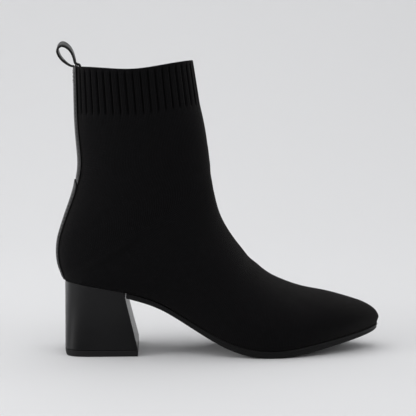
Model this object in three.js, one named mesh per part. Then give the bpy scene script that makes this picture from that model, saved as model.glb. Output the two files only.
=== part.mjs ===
// Black knit ankle boot for the right foot, on a flared block heel.
// Millimetres. +X points to the toe, +Y to the inner side of the foot, +Z is up.
// The origin lies on the floor, under the middle of the boot.
import * as THREE from 'three';
import { mergeVertices } from 'three/addons/utils/BufferGeometryUtils.js';

// Driving dimensions of the whole boot
const bootLength = 246;
const ballWidth = 86;
const shaftWidth = 63;
const instepHeight = 47;
const shaftHeight = 158.6;
const heelLift = 48.7;
const toeSpring = 12.2;

// Knit upper and its ribbed cuff
const knitWall = 2.2;
const ribDepth = 0.7;
const ribPitch = 5.6;
const cuffHeight = 36;
const cuffEdge = 1.6;

// Leather pieces on the back
const leather = 1.0;
const backStripWidth = 21;
const heelStripFoot = 14;
const stripJoint = 75;
const stripJointDrop = 5;
const loopWidth = 9.5;
const loopLeather = 1.6;
const loopHeight = 16.4;
const loopReach = 12.6;
const loopLegs = 12;
const loopLean = THREE.MathUtils.degToRad(20);
const stripBelowCollar = 1;
const stripCornerRise = 2.8;

// Sole, insole and heel
const soleEdge = 5.8;
const soleLip = 0.7;
const soleStep = 0.5;
const insoleThickness = 2.0;
const heelSeatLength = 45;
const heelFootLength = 55;
const heelFootWidth = 56;
const heelWaist = 1.2;
const heelTipHeight = 4.8;
const heelTipRoll = 0.8;
const heelRoundLength = 34;
const heelSquareness = 5;

// Clearances
const gap = 0.3;
const insoleClearance = 1.6;
const loopClearance = 0.6;

// Facets and rows of the curved surfaces
const halvesAround = 15;
const rowsInsideCuff = 3;
const heelFacets = 12;
const stripFacets = 8;
const loopRows = 44;

// Turns a table with named columns into one list for each column.
function columns(names, rows) {
  const lists = {};
  names.split(' ').forEach((name, column) => {
    lists[name] = rows.map((row) => row[column]);
  });
  return lists;
}

// Sections from the toe tip to the back of the heel seat, which are open underneath.
// floorX, topX: share of the boot length, from the back. spring, lift: shares of toe spring and
// heel lift. rise: share of the instep height. out, into: half widths on the outer and inner side,
// share of the ball width. tuckOut, tuckIn: width at the sole's edge as a share of the half width.
// middle, ridge: sideways shift, share of the ball width. belly: height of the widest point.
// crown: roundness over the top. tread: share of the sole's thickness.
const foot = columns(
  'floorX spring lift topX rise out into tuckOut tuckIn middle belly crown ridge tread', [
    [0.993, 1.000, 0.000, 1.000, 0.091, 0.000, 0.000, 0.82, 0.82, 0.050, 0.45, 2.00, 0.00, 0.66],
    [0.989, 0.970, 0.000, 0.996, 0.160, 0.052, 0.052, 0.84, 0.84, 0.050, 0.45, 2.00, 0.00, 0.68],
    [0.976, 0.910, 0.000, 0.983, 0.262, 0.114, 0.114, 0.86, 0.86, 0.047, 0.44, 2.00, 0.00, 0.71],
    [0.949, 0.800, 0.000, 0.952, 0.389, 0.192, 0.192, 0.87, 0.87, 0.042, 0.42, 2.00, 0.01, 0.75],
    [0.900, 0.630, 0.000, 0.902, 0.523, 0.285, 0.288, 0.88, 0.88, 0.032, 0.38, 2.00, 0.02, 0.81],
    [0.839, 0.440, 0.000, 0.832, 0.674, 0.372, 0.378, 0.90, 0.90, 0.020, 0.33, 1.95, 0.03, 0.88],
    [0.770, 0.220, 0.000, 0.757, 0.808, 0.442, 0.448, 0.92, 0.92, 0.010, 0.28, 1.90, 0.05, 0.95],
    [0.692, 0.000, 0.000, 0.689, 0.994, 0.492, 0.499, 0.93, 0.94, 0.000, 0.25, 1.85, 0.06, 1.00],
    [0.615, 0.000, 0.000, 0.642, 1.130, 0.500, 0.488, 0.93, 0.90, 0.000, 0.25, 1.80, 0.06, 1.00],
    [0.522, 0.000, 0.103, 0.601, 1.210, 0.471, 0.424, 0.89, 0.77, 0.000, 0.30, 1.75, 0.05, 0.90],
    [0.420, 0.000, 0.372, 0.560, 1.183, 0.419, 0.360, 0.79, 0.63, 0.000, 0.36, 1.75, 0.04, 0.78],
    [0.318, 0.000, 0.680, 0.531, 1.077, 0.390, 0.337, 0.74, 0.60, 0.000, 0.40, 1.75, 0.03, 0.72],
    [0.221, 0.000, 0.836, 0.509, 1.121, 0.378, 0.343, 0.77, 0.69, 0.000, 0.42, 1.80, 0.02, 0.70],
    [0.140, 0.000, 0.924, 0.496, 1.210, 0.373, 0.358, 0.83, 0.80, 0.000, 0.42, 1.85, 0.01, 0.70],
    [0.083, 0.000, 0.971, 0.488, 1.332, 0.366, 0.360, 0.77, 0.77, 0.000, 0.42, 1.88, 0.00, 0.70],
    [0.042, 0.000, 0.993, 0.483, 1.436, 0.361, 0.359, 0.50, 0.50, 0.000, 0.42, 1.90, 0.00, 0.70],
    [0.026, 0.000, 1.000, 0.481, 1.504, 0.359, 0.358, 0.00, 0.00, 0.000, 0.42, 1.90, 0.00, 0.70],
  ]);

// Closed sections from the back of the heel up the leg to the collar.
// backX, frontX: share of the boot length. climb: share of the shaft height. rise: share of the
// instep height. half: half width, share of the shaft width. belly, crown: as above.
// dip: how far the section sags between back and front, share of the shaft height.
const leg = columns(
  'backX climb frontX rise half belly crown dip', [
    [0.0177, 0.030, 0.479, 1.468, 0.490, 0.43, 1.90, 0.000],
    [0.0083, 0.071, 0.477, 1.383, 0.492, 0.44, 1.92, 0.000],
    [0.0047, 0.124, 0.475, 1.266, 0.492, 0.45, 1.94, 0.000],
    [0.0079, 0.187, 0.474, 1.117, 0.490, 0.46, 1.96, 0.000],
    [0.0202, 0.253, 0.473, 0.957, 0.483, 0.47, 1.98, 0.000],
    [0.0345, 0.318, 0.471, 0.813, 0.474, 0.48, 2.00, 0.000],
    [0.0502, 0.386, 0.469, 0.660, 0.467, 0.49, 2.02, 0.000],
    [0.0657, 0.464, 0.467, 0.489, 0.463, 0.50, 2.05, 0.000],
    [0.0734, 0.540, 0.464, 0.332, 0.463, 0.50, 2.08, 0.002],
    [0.0705, 0.619, 0.460, 0.213, 0.467, 0.50, 2.10, 0.006],
    [0.0665, 0.695, 0.453, 0.160, 0.474, 0.50, 2.10, 0.012],
    [0.0644, 0.764, 0.443, 0.160, 0.482, 0.50, 2.10, 0.018],
    [0.0636, 0.840, 0.432, 0.150, 0.490, 0.50, 2.10, 0.022],
    [0.0632, 0.919, 0.426, 0.117, 0.496, 0.50, 2.10, 0.025],
    [0.0628, 1.000, 0.420, 0.102, 0.500, 0.50, 2.10, 0.027],
  ]);

const seatStation = foot.floorX.length - 1;
const collarStation = seatStation + leg.backX.length;
const soleTop = soleEdge + gap;
const alongBoot = (share) => (share - 0.5) * bootLength;

// The same quantity over all sections, in millimetres or as a plain share.
const both = (footList, legList) => [...footList, ...legList];
const floorLevel = foot.lift.map((lift, row) => soleTop + lift * heelLift + foot.spring[row] * toeSpring);
const legLevel = leg.climb.map((climb) => soleTop + heelLift + climb * shaftHeight);
const zeros = leg.backX.map(() => 0);
const lowX = both(foot.floorX.map(alongBoot), leg.backX.map(alongBoot));
const lowZ = both(floorLevel, legLevel);
const highX = both(foot.topX.map(alongBoot), leg.frontX.map(alongBoot));
const highRise = both(foot.rise, leg.rise).map((rise) => rise * instepHeight);
const legHalf = leg.half.map((half) => half * shaftWidth);
const outHalf = both(foot.out.map((half) => half * ballWidth), legHalf);
const inHalf = both(foot.into.map((half) => half * ballWidth), legHalf);
const middleY = both(foot.middle.map((shift) => shift * ballWidth), zeros);
const ridgeY = both(foot.ridge.map((shift) => shift * ballWidth), zeros);
const bellyShare = both(foot.belly, leg.belly);
const crownPower = both(foot.crown, leg.crown);
const dipDepth = both(foot.rise.map(() => 0), leg.dip.map((dip) => dip * shaftHeight));

// A smooth curve through the values. A mirrored end is level, a turned end passes straight on.
const mirrored = (edge, near) => near;
const turned = (edge, near) => 2 * edge - near;
function smooth(values, station, first = mirrored, last = turned) {
  const end = values.length - 1;
  const index = Math.max(0, Math.min(Math.floor(station), end - 1));
  const t = station - index;
  const before = index > 0 ? values[index - 1] : first(values[0], values[1]);
  const after = index + 2 > end ? last(values[end], values[end - 1]) : values[index + 2];
  const from = values[index];
  const to = values[index + 1];
  const bend = 2 * before - 5 * from + 4 * to - after;
  const twist = 3 * (from - to) + after - before;
  return from + 0.5 * t * (to - before + t * (bend + t * twist));
}

// Half width at the sole's edge as a share of the widest half width. It is zero on the leg.
function tuck(values, station) {
  return station >= seatStation ? 0 : Math.max(0, smooth(values, station, mirrored, turned));
}

// Lowest and highest point of a section, in the middle of the boot.
function lowPoint(station) {
  return new THREE.Vector3(smooth(lowX, station), smooth(middleY, station), smooth(lowZ, station));
}

// The outer surface of the upper. around runs from -1, at the outer edge of the sole or the back,
// over 0, at the top or the front, to 1, at the inner edge or the back again.
const wallShare = 0.42;
function upperPoint(station, around) {
  const low = lowPoint(station);
  const high = new THREE.Vector3(smooth(highX, station), low.y, low.z + smooth(highRise, station));
  const side = Math.sign(around);
  const share = Math.abs(around);
  const half = Math.max(0, smooth(side < 0 ? outHalf : inHalf, station, turned));
  const tuckShare = tuck(side < 0 ? foot.tuckOut : foot.tuckIn, station);
  const belly = smooth(bellyShare, station);
  let across;
  let upward;
  if (share > 1 - wallShare) {
    const start = Math.asin(tuckShare);
    const angle = start + (Math.PI / 2 - start) * (1 - share) / wallShare;
    across = side * half * Math.sin(angle);
    upward = belly * (1 - Math.cos(angle) / Math.cos(start));
  } else {
    const angle = (Math.PI / 2) * (1 - share / (1 - wallShare));
    const power = 2 / smooth(crownPower, station);
    const reach = Math.max(0, Math.cos(angle)) ** power;
    across = side * half * reach + smooth(ridgeY, station) * (1 - reach);
    upward = belly + (1 - belly) * Math.sin(angle) ** power;
  }
  const point = low.clone().lerp(high, upward);
  point.y += across;
  point.z -= smooth(dipDepth, station) * Math.sin(Math.PI * Math.min(1, Math.max(0, upward)));
  return point;
}

// The way out of the upper's surface, from small steps along it.
const smallStep = 1e-3;
function upperNormal(station, around) {
  const nearEdge = Math.min(Math.max(around, -1 + smallStep), 1 - smallStep);
  const nearEnd = Math.min(Math.max(station, smallStep), collarStation - smallStep);
  const alongWay = upperPoint(nearEnd + smallStep, nearEdge).sub(upperPoint(nearEnd - smallStep, nearEdge));
  const aroundWay = upperPoint(nearEnd, nearEdge + smallStep).sub(upperPoint(nearEnd, nearEdge - smallStep));
  const way = aroundWay.cross(alongWay);
  if (station === 0) {
    way.y = 0;
  }
  if (Math.abs(around) === 1 && station >= seatStation) {
    const climb = lowPoint(nearEnd + smallStep).sub(lowPoint(nearEnd - smallStep));
    way.set(-climb.z, 0, climb.x);
  }
  return way.normalize();
}

function offsetPoint(station, around, offset) {
  return upperPoint(station, around).addScaledVector(upperNormal(station, around), offset);
}

// Collects triangles and makes one closed mesh of them.
const weldDistance = 1e-4;
class Shell {
  constructor() {
    this.corners = [];
  }

  triangle(a, b, c) {
    for (const point of [a, b, c]) {
      this.corners.push(point.x, point.y, point.z);
    }
  }

  // A band between two lines with the same number of points.
  band(lineA, lineB) {
    for (let i = 0; i + 1 < lineA.length; i += 1) {
      this.triangle(lineA[i], lineA[i + 1], lineB[i]);
      this.triangle(lineA[i + 1], lineB[i + 1], lineB[i]);
    }
  }

  // A band between two lines with different numbers of points, matched by their length.
  fan(lineA, lineB) {
    const sharesA = lengthShares(lineA);
    const sharesB = lengthShares(lineB);
    let i = 0;
    let j = 0;
    while (i + 1 < lineA.length || j + 1 < lineB.length) {
      const stepA = j + 1 === lineB.length || (i + 1 < lineA.length && sharesA[i + 1] <= sharesB[j + 1]);
      if (stepA) {
        this.triangle(lineA[i], lineA[i + 1], lineB[j]);
        i += 1;
      } else {
        this.triangle(lineA[i], lineB[j + 1], lineB[j]);
        j += 1;
      }
    }
  }

  bands(lines) {
    for (let i = 0; i + 1 < lines.length; i += 1) {
      this.band(lines[i], lines[i + 1]);
    }
  }

  // A sheet with thickness: two grids of the same size, joined along their four edges.
  slab(outerLines, innerLines) {
    this.bands(outerLines);
    this.bands([...innerLines].reverse());
    const last = outerLines.length - 1;
    this.band(innerLines[0], outerLines[0]);
    this.band(outerLines[last], innerLines[last]);
    this.band(outerLines.map((line) => line[0]), innerLines.map((line) => line[0]));
    this.band(innerLines.map((line) => line.at(-1)), outerLines.map((line) => line.at(-1)));
  }

  mesh(name, finish) {
    const loose = new THREE.BufferGeometry();
    loose.setAttribute('position', new THREE.Float32BufferAttribute(this.corners, 3));
    const merged = mergeVertices(loose, weldDistance);
    const index = merged.getIndex().array;
    const kept = [];
    for (let i = 0; i < index.length; i += 3) {
      const [a, b, c] = [index[i], index[i + 1], index[i + 2]];
      if (a !== b && b !== c && c !== a) {
        kept.push(a, b, c);
      }
    }
    merged.setIndex(kept);
    merged.computeVertexNormals();
    const mesh = new THREE.Mesh(merged, finish);
    mesh.name = name;
    return mesh;
  }
}

function lengthShares(line) {
  const lengths = [0];
  for (let i = 1; i < line.length; i += 1) {
    lengths.push(lengths[i - 1] + line[i].distanceTo(line[i - 1]));
  }
  return lengths.map((length) => length / lengths.at(-1));
}

const steps = (count) => Array.from({ length: count + 1 }, (_, i) => i / count);
const range = (from, to, count) => steps(count).map((share) => from + share * (to - from));

// The station at which a growing quantity reaches a value, found by halving.
const halvings = 40;
function stationWhere(quantity, value, from, to) {
  let low = from;
  let high = to;
  for (let i = 0; i < halvings; i += 1) {
    const middle = (low + high) / 2;
    if (quantity(middle) < value) {
      low = middle;
    } else {
      high = middle;
    }
  }
  return (low + high) / 2;
}

// Places on a closed section by their share of the way round, from the back over the outer side.
const roundSamples = 240;
function placesAround(station, shares) {
  const samples = range(-1, 1, roundSamples);
  const lengths = lengthShares(samples.map((around) => upperPoint(station, around)));
  let at = 0;
  return shares.map((share) => {
    while (at < roundSamples - 1 && lengths[at + 1] < share) {
      at += 1;
    }
    const part = (share - lengths[at]) / (lengths[at + 1] - lengths[at]);
    return THREE.MathUtils.lerp(samples[at], samples[at + 1], Math.min(1, Math.max(0, part)));
  });
}

function roundLength(station) {
  const line = range(-1, 1, roundSamples).map((around) => upperPoint(station, around));
  return line.slice(1).reduce((sum, point, i) => sum + point.distanceTo(line[i]), 0);
}

const backHeight = (station) => lowPoint(station).z;
const collarHeight = backHeight(collarStation);
const stationAtHeight = (height) => stationWhere(backHeight, height, seatStation, collarStation);
const cuffStation = stationAtHeight(collarHeight - cuffHeight);

// Finishes
const finish = (name, color, roughness) => {
  const material = new THREE.MeshStandardMaterial({ color, roughness, metalness: 0 });
  material.name = name;
  return material;
};
const knit = finish('knit', 0x17171a, 0.95);
const smoothLeather = finish('leather', 0x1b1b1d, 0.42);
const heelCover = finish('heel_cover', 0x1d1d20, 0.38);
const soleFinish = finish('sole', 0x151516, 0.45);
const rubber = finish('rubber', 0x101011, 0.7);
const lining = finish('lining', 0x2a2725, 0.8);

// The knit upper: one wall from the sole's edge to the collar, with a ribbed cuff.
const aroundPlaces = range(-1, 1, 2 * halvesAround);
const bodyStations = [
  ...range(0, seatStation, 2 * seatStation),
  ...range(seatStation, cuffStation, Math.round(2 * (cuffStation - seatStation))).slice(1),
];
const innerCuffStations = range(cuffStation, collarStation, rowsInsideCuff).slice(1);

// The stations between two others, without any that would lie on top of them.
const stationSpacing = 0.2;
function stationsBetween(from, to, all = bodyStations) {
  return all.filter((station) => station > from + stationSpacing && station < to - stationSpacing);
}

// Corners of one rib as shares of its pitch: a flat ridge, then a valley with sloping sides.
const ribCorners = columns('place depth', [
  [0.00, 0],
  [0.56, 0],
  [0.70, 1],
  [0.86, 1],
]);

function ribLine(station, relief) {
  const count = Math.round(roundLength(cuffStation) / ribPitch);
  const shares = [];
  const depths = [];
  for (let rib = 0; rib < count; rib += 1) {
    ribCorners.place.forEach((place, i) => {
      shares.push((rib + place) / count);
      depths.push(ribCorners.depth[i] * relief);
    });
  }
  shares.push(1);
  depths.push(0);
  return placesAround(station, shares).map((around, i) => offsetPoint(station, around, -depths[i]));
}

function makeUpper() {
  const shell = new Shell();
  const outer = bodyStations.map((station) => aroundPlaces.map((around) => upperPoint(station, around)));
  const innerStations = [...bodyStations, ...innerCuffStations];
  const inner = innerStations.map((station) => aroundPlaces.map((around) => {
    const point = offsetPoint(station, around, -knitWall);
    if (Math.abs(around) === 1 && station <= seatStation) {
      point.z = floorAt(point.x);
    }
    return point;
  }));
  const edgeShare = cuffEdge / cuffHeight;
  const cuffAt = (share) => THREE.MathUtils.lerp(cuffStation, collarStation, share);
  const cuffLines = [
    ribLine(cuffAt(edgeShare / 2), 0),
    ribLine(cuffAt(edgeShare * 2), ribDepth),
    ribLine(cuffAt(1 / 2), ribDepth),
    ribLine(cuffAt(1 - edgeShare), ribDepth),
    ribLine(cuffAt(1 - edgeShare / 2), 0),
  ];
  const collarLine = aroundPlaces.map((around) => upperPoint(collarStation, around));
  shell.bands(outer);
  shell.fan(outer.at(-1), cuffLines[0]);
  shell.bands(cuffLines);
  shell.fan(cuffLines.at(-1), collarLine);
  shell.band(collarLine, inner.at(-1));
  shell.bands([...inner].reverse());
  const open = bodyStations.filter((station) => station <= seatStation).length;
  const edge = (lines, end) => lines.slice(0, open).map((line) => line.at(end));
  shell.band(edge(outer, 0), edge(inner, 0));
  shell.band(edge(inner, -1), edge(outer, -1));
  return shell.mesh('upper', knit);
}

// The station at a place along the boot, and the height of the sole's top surface there.
function stationAlong(x) {
  return stationWhere((station) => -lowPoint(station).x, -x, 0, seatStation);
}

function floorAt(x) {
  return smooth(lowZ, stationAlong(x));
}

// The edge line of the upper on the sole, moved out in plan and down.
function edgePoint(station, side, out, down) {
  const at = (s) => upperPoint(s, side);
  const near = Math.min(Math.max(station, smallStep), seatStation - smallStep);
  const way = at(near + smallStep).sub(at(near - smallStep));
  const normal = new THREE.Vector3(-way.y, way.x, 0).multiplyScalar(-side).normalize();
  if (station === 0) {
    normal.set(1, 0, 0);
  }
  const point = at(station).addScaledVector(normal, out);
  point.z = floorAt(point.x) - down;
  return point;
}

// Where the heel's front face meets the sole, which stops clear of its slope.
const backEnd = lowPoint(seatStation).x;
const heelBack = backEnd + gap;
const breastX = backEnd + heelSeatLength;
const breastSlope = (heelBack + heelFootLength - breastX) / (floorAt(breastX) - heelTipHeight);
const soleEnd = stationAlong(breastX + gap + Math.max(0, breastSlope) * soleEdge);

// Side of the sole from its top edge to its bottom: a proud lip, a step and a bevel.
// out: share of the step. down: share of the sole's thickness.
const soleSide = columns('out down', [
  [1, 0.00],
  [1, 0.26],
  [0, 0.36],
  [0, 0.80],
  [-1.6, 1.00],
]);

function makeOutsole() {
  const shell = new Shell();
  const stations = [0, ...stationsBetween(0, soleEnd), soleEnd];
  const side = (station, hand) => soleSide.out.map((out, i) => {
    const reach = soleLip - soleStep + out * soleStep;
    const thickness = smooth(foot.tread, station) * soleEdge;
    const point = edgePoint(station, hand, reach, gap + soleSide.down[i] * thickness);
    point.z = Math.max(0, point.z);
    return point;
  });
  const outerLines = stations.map((station) => side(station, -1));
  const innerLines = stations.map((station) => side(station, 1));
  const top = stations.map((_, i) => [outerLines[i][0], innerLines[i][0]]);
  const bottom = stations.map((_, i) => [innerLines[i].at(-1), outerLines[i].at(-1)]);
  shell.bands(outerLines.map((line) => [...line].reverse()));
  shell.bands(innerLines);
  shell.bands(top);
  shell.bands(bottom);
  shell.band(innerLines.at(-1), outerLines.at(-1));
  return shell.mesh('outsole', soleFinish);
}

// The insole, from a little behind the toe tip to a little before the back.
const insoleToe = 0.2;
const insoleBack = seatStation - 0.7;
function makeInsole() {
  const shell = new Shell();
  const inset = -(knitWall + insoleClearance);
  const stations = [insoleToe, ...stationsBetween(insoleToe, insoleBack), insoleBack];
  const level = (up) => stations.map((station) => [
    edgePoint(station, -1, inset, -up),
    edgePoint(station, 1, inset, -up),
  ]);
  shell.slab(level(insoleThickness), level(0));
  return shell.mesh('insole', lining);
}

// The covered heel: its top follows the seat, its foot is a block with a round back.
// share: way down from the seat. waist: share of the heel's waist.
const heelRows = columns('share waist', [
  [0, 0],
  [0.25, 0.75],
  [0.5, 1],
  [0.75, 0.6],
  [1, 0],
]);
const heelSteps = steps(heelFacets).map((share) => Math.sin(share * Math.PI / 2));
function heelFootPoint(step, side, roll) {
  const front = heelBack + heelFootLength;
  const x = front + step * (heelBack + roll - front);
  const bend = Math.min(1, Math.max(0, (heelBack + roll + heelRoundLength - x) / heelRoundLength));
  const half = (heelFootWidth / 2) * (1 - bend ** heelSquareness) ** (1 / heelSquareness);
  return new THREE.Vector3(x, side * half, 0);
}

function heelTopPoint(step, side) {
  const x = breastX + step * (backEnd - breastX);
  const point = step === 1 ? upperPoint(seatStation, 1) : edgePoint(stationAlong(x), side, 0, 0);
  point.x = Math.max(x, heelBack);
  point.z = floorAt(point.x) - gap;
  return point;
}

function heelOutline(place) {
  const back = [...heelSteps].reverse().slice(1);
  return [
    ...heelSteps.map((step) => place(step, -1)),
    ...back.map((step) => place(step, 1)),
  ];
}

// A flat or ruled cap across an outline that runs down one side and back on the other.
function acrossOutline(outline) {
  const half = (outline.length - 1) / 2;
  return steps(half).map((_, i) => [outline[i], outline[outline.length - 1 - i]]);
}

function closeBlock(shell, rows) {
  shell.bands(rows);
  shell.bands(acrossOutline(rows[0]));
  shell.bands(acrossOutline(rows.at(-1)).map((pair) => [...pair].reverse()));
  shell.band(rows.map((row) => row[0]), rows.map((row) => row.at(-1)));
}

function makeHeel() {
  const shell = new Shell();
  const rows = heelRows.share.map((share, i) => heelOutline((step, side) => {
    const top = heelTopPoint(step, side);
    const bottom = heelFootPoint(step, side, 0);
    bottom.z = heelTipHeight + gap;
    const point = top.lerp(bottom, share);
    point.y -= Math.sign(point.y) * Math.min(Math.abs(point.y), heelWaist * heelRows.waist[i]);
    return point;
  }));
  closeBlock(shell, rows);
  return shell.mesh('heel', heelCover);
}

// Levels of the rubber lift, whose back edge is worn round.
const tipLevels = columns('height roll', [
  [1.0, 0.0],
  [0.7, 0.1],
  [0.3, 0.4],
  [0.0, 1.0],
]);

function makeHeelTip() {
  const shell = new Shell();
  const rows = tipLevels.height.map((height, i) => heelOutline((step, side) => {
    const point = heelFootPoint(step, side, tipLevels.roll[i] * heelTipRoll);
    point.z = height * heelTipHeight;
    return point;
  }));
  closeBlock(shell, rows);
  return shell.mesh('heel_tip', rubber);
}

// A place on the back of the upper at a distance round from the middle of the back.
function placeOffBack(station, distance) {
  const share = Math.abs(distance) / roundLength(station);
  const around = placesAround(station, [share])[0];
  return distance < 0 ? around : -around;
}

// A leather strip on the back. topEnd and lowEnd give its end stations for a place across it, and
// rise how far its top edge stands over the end station.
function backPiece(name, stations, halfWidth, topEnd, lowEnd, rise) {
  const shell = new Shell();
  const across = range(-1, 1, stripFacets);
  const level = (offset) => stations.map((station, row) => across.map((share) => {
    const top = row === stations.length - 1;
    const bent = row === 0 ? lowEnd(share) : top ? topEnd(share) : station;
    const around = placeOffBack(bent, share * halfWidth(bent));
    const point = offsetPoint(bent, around, offset);
    point.z += top ? rise(share) : 0;
    return point;
  }));
  const outer = level(gap + leather);
  const inner = level(gap);
  const flip = (lines) => lines.map((line) => [...line].reverse());
  shell.slab(flip(outer), flip(inner));
  return shell.mesh(name, smoothLeather);
}

const jointHeight = backHeight(seatStation) + stripJoint;
const jointStation = (share, clear) => stationAtHeight(jointHeight + clear - stripJointDrop * share * share);

function makeBackStrip() {
  const topStation = stationAtHeight(collarHeight - stripBelowCollar);
  const lowest = jointStation(0, gap);
  const rows = [...bodyStations, ...innerCuffStations];
  const stations = [lowest, ...stationsBetween(lowest, topStation, rows), topStation];
  const halfWidth = () => backStripWidth / 2;
  const lowEnd = (share) => jointStation(share, gap);
  const rise = (share) => stripCornerRise * share ** 4;
  return backPiece('back_strip', stations, halfWidth, () => topStation, lowEnd, rise);
}

function makeHeelStrip() {
  const highest = jointStation(1, -gap);
  const stations = [seatStation, ...stationsBetween(seatStation, highest), highest];
  const halfWidth = (station) => {
    const share = Math.min(1, (backHeight(station) - backHeight(seatStation)) / stripJoint);
    return THREE.MathUtils.lerp(heelStripFoot, backStripWidth, Math.sqrt(share)) / 2;
  };
  const topEnd = (share) => jointStation(share, -gap);
  return backPiece('heel_strip', stations, halfWidth, topEnd, () => seatStation, () => 0);
}

// The pull loop, from inside the collar over its edge, round the eye and down onto the back strip.
// back, up: shares of the loop's reach and height, from the collar's edge at the back.
const loopShape = columns('back up', [
  [-0.26, 0.085],
  [-0.135, 0.11],
  [-0.06, 0.15],
  [-0.03, 0.20],
  [0.05, 0.48],
  [0.21, 0.75],
  [0.41, 0.91],
  [0.70, 1.00],
  [0.92, 0.89],
  [0.98, 0.70],
  [0.80, 0.39],
  [0.47, 0.14],
  [0.17, 0.015],
  [0.03, 0.015],
]);

function makePullLoop() {
  const collar = upperPoint(collarStation, 1);
  const lowLeg = stationAtHeight(collarHeight - loopLegs);
  const midLeg = stationAtHeight(collarHeight - loopLegs / 2);
  const wallAt = (distance) => offsetPoint(midLeg, placeOffBack(midLeg, distance), -knitWall).x;
  const wallCurve = wallAt(loopWidth / 2) - wallAt(0);
  const inside = -(knitWall + loopClearance + wallCurve + loopLeather / 2);
  const legPoint = (station, offset) => offsetPoint(station, 1, offset);
  const points = [
    legPoint(lowLeg, inside),
    legPoint(midLeg, inside),
    legPoint(collarStation, inside),
    ...loopShape.back.map((back, i) => new THREE.Vector3(
      collar.x - back * loopReach, 0, collar.z + loopShape.up[i] * loopHeight)),
  ];
  const path = new THREE.CatmullRomCurve3(points, false, 'centripetal');
  const shell = new Shell();
  const level = (side) => steps(loopRows).map((share) => {
    const centre = path.getPoint(share);
    const way = path.getTangent(share);
    const out = new THREE.Vector3(way.z, 0, -way.x).multiplyScalar(side * loopLeather / 2);
    const raised = Math.max(0, (centre.z - collar.z) / loopHeight);
    const lean = loopLean * raised;
    const across = new THREE.Vector3(0, Math.cos(lean), Math.sin(lean)).multiplyScalar(loopWidth / 2);
    centre.y -= Math.tan(lean / 2) * raised * loopHeight;
    centre.add(out);
    return [centre.clone().sub(across), centre.clone().add(across)];
  });
  shell.slab(level(1), level(-1));
  return shell.mesh('pull_loop', smoothLeather);
}

const group = new THREE.Group();
group.add(
  makeUpper(),
  makeOutsole(),
  makeInsole(),
  makeHeel(),
  makeHeelTip(),
  makeBackStrip(),
  makeHeelStrip(),
  makePullLoop(),
);

export default group;
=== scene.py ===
"""Black knit ankle boot: surfaces and finishes around the fixed frame of its solids.

Metres. +X points to the toe, +Y to the inner side of the foot, +Z is up.
"""
import math

import bmesh
import bpy
import numpy as np
from mathutils import Matrix, Vector
from mathutils.bvhtree import BVHTree


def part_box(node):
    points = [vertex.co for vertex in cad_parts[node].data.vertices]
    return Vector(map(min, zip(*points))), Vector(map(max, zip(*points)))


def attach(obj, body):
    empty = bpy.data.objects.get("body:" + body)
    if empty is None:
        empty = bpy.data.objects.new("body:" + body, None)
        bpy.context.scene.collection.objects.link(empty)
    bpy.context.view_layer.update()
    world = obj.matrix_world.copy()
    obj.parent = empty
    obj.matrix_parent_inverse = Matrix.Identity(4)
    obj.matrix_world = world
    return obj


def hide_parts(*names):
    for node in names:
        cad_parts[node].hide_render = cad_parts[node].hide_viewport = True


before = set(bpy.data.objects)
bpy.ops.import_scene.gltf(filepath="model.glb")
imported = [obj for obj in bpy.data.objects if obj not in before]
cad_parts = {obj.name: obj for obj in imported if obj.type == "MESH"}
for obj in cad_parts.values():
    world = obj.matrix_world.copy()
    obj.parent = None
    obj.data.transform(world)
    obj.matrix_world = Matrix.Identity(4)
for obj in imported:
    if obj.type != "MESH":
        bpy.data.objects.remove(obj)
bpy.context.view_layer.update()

bl_info = {
    "name": "Knit ankle boot",
    "version": (1, 0, 0),
    "blender": (4, 5, 0),
    "location": "View3D > Sidebar > Boot",
    "description": "Models the surfaces of a knit ankle boot on its packed solids",
    "category": "Add Mesh",
}

MM = 0.001


# Settings

class KnitSettings(bpy.types.PropertyGroup):
    colour: bpy.props.FloatVectorProperty(
        name="Yarn colour", description="Colour of the knit", subtype="COLOR",
        size=3, min=0, max=1, default=(0.0042, 0.0041, 0.0046))
    wall: bpy.props.FloatProperty(
        name="Wall", description="Thickness of the knit and its lining",
        default=2.2 * MM, unit="LENGTH")
    cuff_height: bpy.props.FloatProperty(
        name="Cuff height", description="Height of the ribbed cuff at the back",
        default=36 * MM, unit="LENGTH")
    ribs: bpy.props.IntProperty(
        name="Ribs", description="Number of ribs round the cuff", default=44)
    rib_depth: bpy.props.FloatProperty(
        name="Rib depth", description="Depth of the valleys between the ribs",
        default=1.5 * MM, unit="LENGTH")
    hem: bpy.props.FloatProperty(
        name="Hem", description="Height of the smooth edge over the ribs",
        default=2.0 * MM, unit="LENGTH")
    wale: bpy.props.FloatProperty(
        name="Wale pitch", description="Width of one column of stitches",
        default=1.15 * MM, unit="LENGTH")
    course: bpy.props.FloatProperty(
        name="Course pitch", description="Height of one row of stitches",
        default=0.95 * MM, unit="LENGTH")


class LeatherSettings(bpy.types.PropertyGroup):
    colour: bpy.props.FloatVectorProperty(
        name="Leather colour", description="Colour of the strips and the pull loop",
        subtype="COLOR", size=3, min=0, max=1, default=(0.0105, 0.0103, 0.0108))
    stitch_pitch: bpy.props.FloatProperty(
        name="Stitch pitch", description="Distance from one stitch to the next",
        default=2.9 * MM, unit="LENGTH")
    stitch_inset: bpy.props.FloatProperty(
        name="Stitch inset", description="Distance of the stitches from the strip's edge",
        default=1.7 * MM, unit="LENGTH")
    thread: bpy.props.FloatProperty(
        name="Thread", description="Thickness of the sewing thread",
        default=0.45 * MM, unit="LENGTH")


class HeelSettings(bpy.types.PropertyGroup):
    colour: bpy.props.FloatVectorProperty(
        name="Cover colour", description="Colour of the heel's cover",
        subtype="COLOR", size=3, min=0, max=1, default=(0.0036, 0.0036, 0.0041))
    edge: bpy.props.FloatProperty(
        name="Heel edge", description="Rounding of the heel's edges",
        default=0.7 * MM, unit="LENGTH")


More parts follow.
